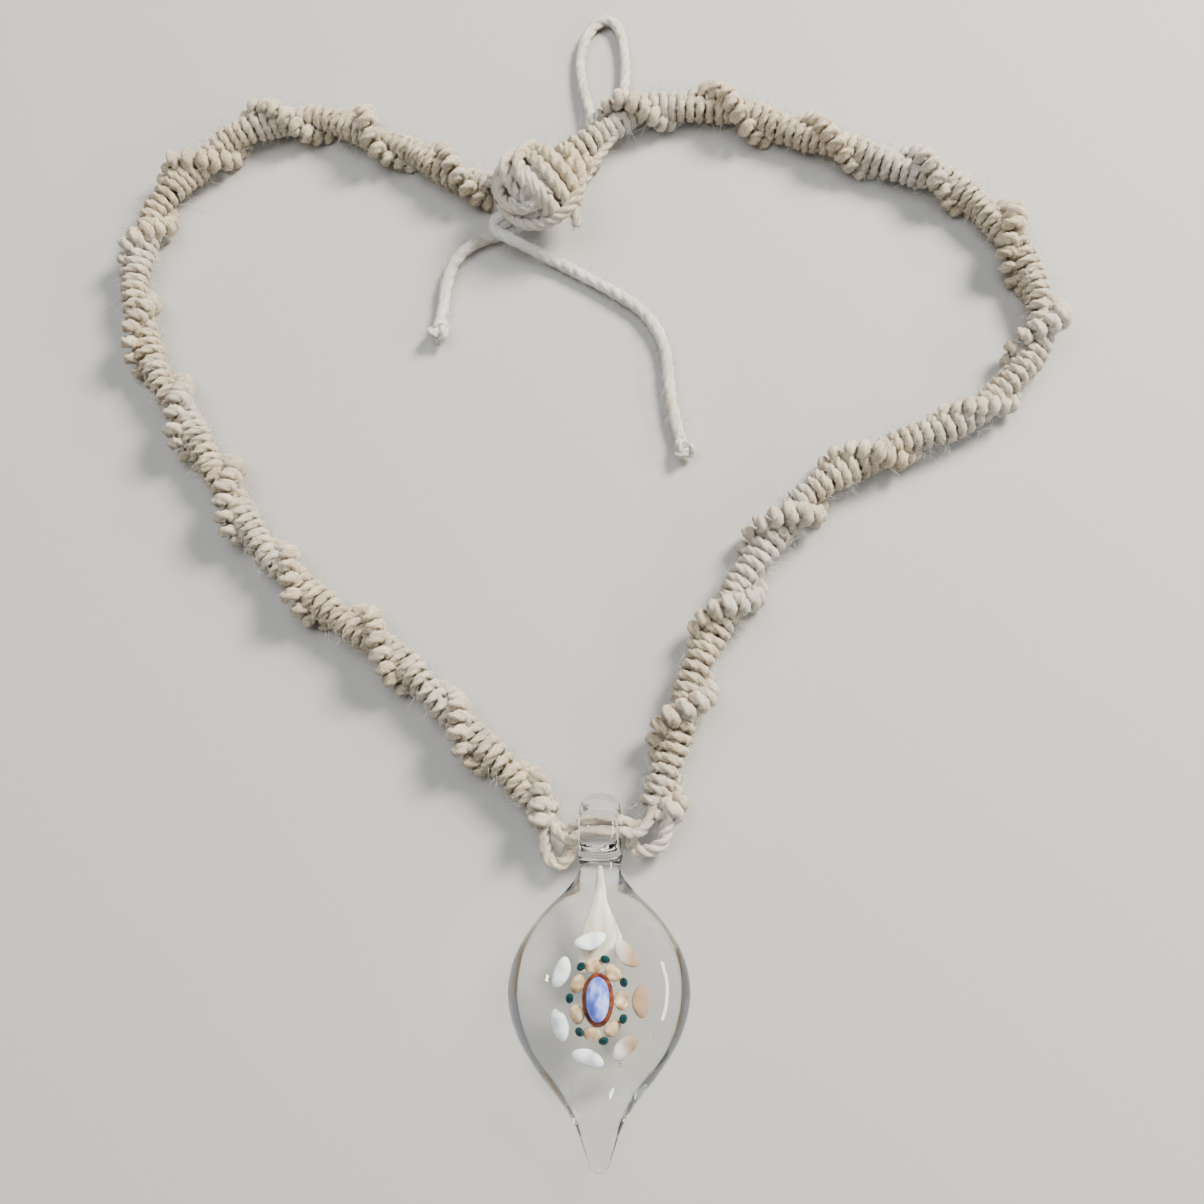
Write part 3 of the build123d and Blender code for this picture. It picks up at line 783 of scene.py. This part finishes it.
add_piece("teal_dots",
          mesh_of("teal_dots", *spread_round((0.00345, 0.0050), FIRST_PETAL - math.pi / PETALS,
                                             egg_rings((0.0005, 0.00062, 0.0005)), -0.0005, 0.0)),
          coloured_glass("teal_glass", [(0.3, (0.001, 0.012, 0.014, 1)), (0.7, (0.003, 0.038, 0.040, 1))],
                         1500, (1, 1, 1), 0.06, 0.0), "pendant", "teal_glass", "accent_dots")
# The white petals carry painted shade: from X 0.5 mm to 4 mm they turn from white to tan-brown, darker on the
# drop's right side where it looks dark
add_piece("white_petals",
          mesh_of("white_petals", *spread_round((0.00495, 0.0070), FIRST_PETAL,
                                                petal_rings((0.00104, 0.00192, 0.00058), 0.20, 0.45), -0.0019,
                                                math.radians(24))),
          coloured_glass("white_glass", [(0.3, (0.60, 0.66, 0.69, 1)), (0.55, (0.84, 0.87, 0.88, 1)),
                                         (0.75, (0.94, 0.95, 0.94, 1))], 700, (1, 1, 1), 0.1, 0.0,
                         ("X", 0.0005, 0.0040, (0.30, 0.20, 0.12, 1))), "pendant", "white_glass",
          "outer_petals")
# The stem, from the flower up into the neck: place, half width, half height, height of the middle
STEM = np.array([(0.0002, 0.0025, 0.0005, 0.0031), (0.0044, 0.0023, 0.00055, 0.0033),
                 (0.0086, 0.0008, 0.00045, 0.0043), (0.0152, 0.0002, 0.0002, 0.0055)])
stem_y = np.linspace(STEM[0, 0], STEM[-1, 0], 40)
stem_wide, stem_high, stem_middle = (np.interp(stem_y, STEM[:, 0], STEM[:, k])[:, None] for k in (1, 2, 3))
folds = 1 + 0.10 * np.cos(7 * angle)[None, :] * np.linspace(1, 0, 40)[:, None]
stem_rings = np.stack([stem_wide * folds * np.cos(angle), np.broadcast_to(stem_y[:, None], (40, 48)),
                       stem_middle - stem_high * folds * np.sin(angle)], axis=-1)
add_piece("cream_stem", mesh_of("cream_stem", closed(stem_rings, stem_rings)),
          coloured_glass("cream_glass", [(0.3, (0.50, 0.43, 0.32, 1)), (0.6, (0.84, 0.79, 0.68, 1))], 700,
                         (1, 0.25, 1), 0.12, 0.1), "pendant", "cream_glass", "flower_stem")

# ---------------------------------------------------------------- floor, light and camera
# A plain pale sheet of paper under the object, soft lamps round it, and a camera nearly straight above.
FLOOR_HALF = 1.2
FLOOR_DROP = -0.00015
floor_mesh = bpy.data.meshes.new("floor")
floor_corners = [(x * FLOOR_HALF, y * FLOOR_HALF, FLOOR_DROP)
                 for x, y in ((-1, -1), (1, -1), (1, 1), (-1, 1))]
floor_mesh.from_pydata(floor_corners, [], [(0, 1, 2, 3)])
floor = bpy.data.objects.new("floor", floor_mesh)
bpy.context.scene.collection.objects.link(floor)
paper = bpy.data.materials.new("pale_paper")
paper.use_nodes = True
paper.node_tree.nodes["Principled BSDF"].inputs["Base Color"].default_value = (0.37, 0.36, 0.34, 1)
paper.node_tree.nodes["Principled BSDF"].inputs["Roughness"].default_value = 0.75
floor_mesh.materials.append(paper)

world = bpy.data.worlds.new("soft_room")
bpy.context.scene.world = world
world.use_nodes = True
world.node_tree.nodes["Background"].inputs["Color"].default_value = (0.80, 0.86, 0.95, 1)
world.node_tree.nodes["Background"].inputs["Strength"].default_value = 0.2


def softbox(name, at, towards, size, power, colour, mirrored=True):
    """A flat lamp at a place, facing a point.  One that isn't mirrored lights the object without showing in
    the glass."""
    lamp = bpy.data.lights.new(name, "AREA")
    lamp.shape = "RECTANGLE"
    lamp.size, lamp.size_y = size
    lamp.energy = power
    lamp.color = colour
    holder = bpy.data.objects.new(name, lamp)
    bpy.context.scene.collection.objects.link(holder)
    holder.location = at
    holder.rotation_euler = (Vector(towards) - Vector(at)).to_track_quat("-Z", "Y").to_euler()
    holder.visible_glossy = mirrored
    holder.visible_transmission = False


softbox("key", (0.38, 0.42, 0.42), (0, 0.06, 0), (0.20, 0.20), 16.0, (1.0, 0.95, 0.85), False)
softbox("window", (0.50, 0.00, 0.21), (0, 0.0, 0), (0.42, 0.05), 2.2, (1.0, 0.98, 0.95))
softbox("sky", (-0.25, 0.25, 0.70), (0, 0.06, 0), (0.6, 0.6), 6.5, (0.90, 0.94, 1.0), False)
softbox("lamp", (-0.34, 0.06, 0.33), (0, 0.02, 0), (0.03, 0.03), 0.25, (1.0, 0.80, 0.50))
softbox("front", (0.10, -0.50, 0.15), (0, 0.02, 0), (0.10, 0.06), 0.7, (0.90, 0.95, 1.0))

camera_data = bpy.data.cameras.new("camera")
camera_data.lens = 38.96
camera_data.sensor_width = 36.0
camera_data.clip_start = 0.01
camera = bpy.data.objects.new("camera", camera_data)
bpy.context.scene.collection.objects.link(camera)
camera.matrix_world = Matrix((
    (0.99735, 0.01654, 0.07084, 0.014163),
    (0.00479, 0.95677, -0.29079, -0.002915),
    (-0.07259, 0.29036, 0.95416, 0.194891),
    (0, 0, 0, 1),
))
bpy.context.scene.camera = camera
